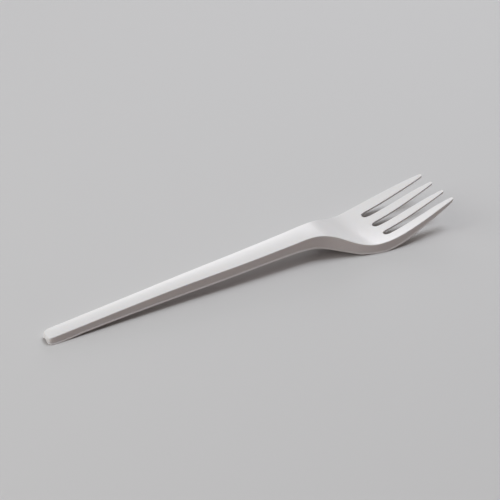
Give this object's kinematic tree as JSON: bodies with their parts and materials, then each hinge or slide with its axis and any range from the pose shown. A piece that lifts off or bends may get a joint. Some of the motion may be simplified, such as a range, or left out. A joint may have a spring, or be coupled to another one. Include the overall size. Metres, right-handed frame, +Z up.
{
  "type": "moulded plastic fork",
  "caption": "White moulded plastic table fork with a slim hollow-backed handle, a raised neck and a dished head with tapered tines.",
  "frame": {"origin": "middle of the fork's length and width, on the table it lies on", "axes": "+X along the fork from the handle end to the tips of the tines, +Y across it to its left side, +Z up out of the dished side"},
  "size_m": [0.1642, 0.027, 0.0119],
  "materials": {
    "white_plastic": "satin moulded"
  },
  "bodies": {
    "root": {"fork": "white_plastic"}
  },
  "joints": []
}
